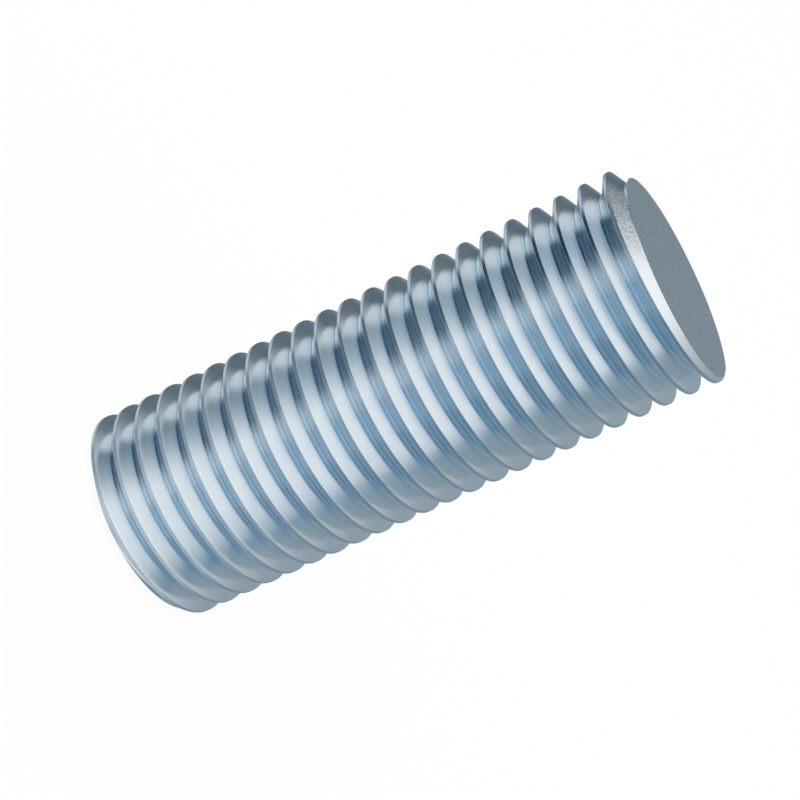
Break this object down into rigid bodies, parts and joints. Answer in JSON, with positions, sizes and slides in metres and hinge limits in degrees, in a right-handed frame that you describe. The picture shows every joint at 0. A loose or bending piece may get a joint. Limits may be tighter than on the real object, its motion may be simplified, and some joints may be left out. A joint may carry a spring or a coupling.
{
  "type": "threaded stud",
  "caption": "Round steel bar threaded from end to end with a coarse right-handed metric thread and cut square at both ends, for clamping with nuts or screwing into a tapped hole.",
  "frame": {"origin": "centre of the flat cut end that the stud stands on", "axes": "+Z along the stud's axis, from the cut end that it stands on to the other one; the groove's section crosses the XZ plane on the +X side a whole number of pitches from the origin"},
  "size_m": [0.03, 0.03, 0.08],
  "materials": {
    "zinc_plated_steel": "satin zinc plating with a faint blue tint, duller on the cut ends"
  },
  "bodies": {
    "root": {"threaded_stud": "zinc_plated_steel"}
  },
  "joints": []
}
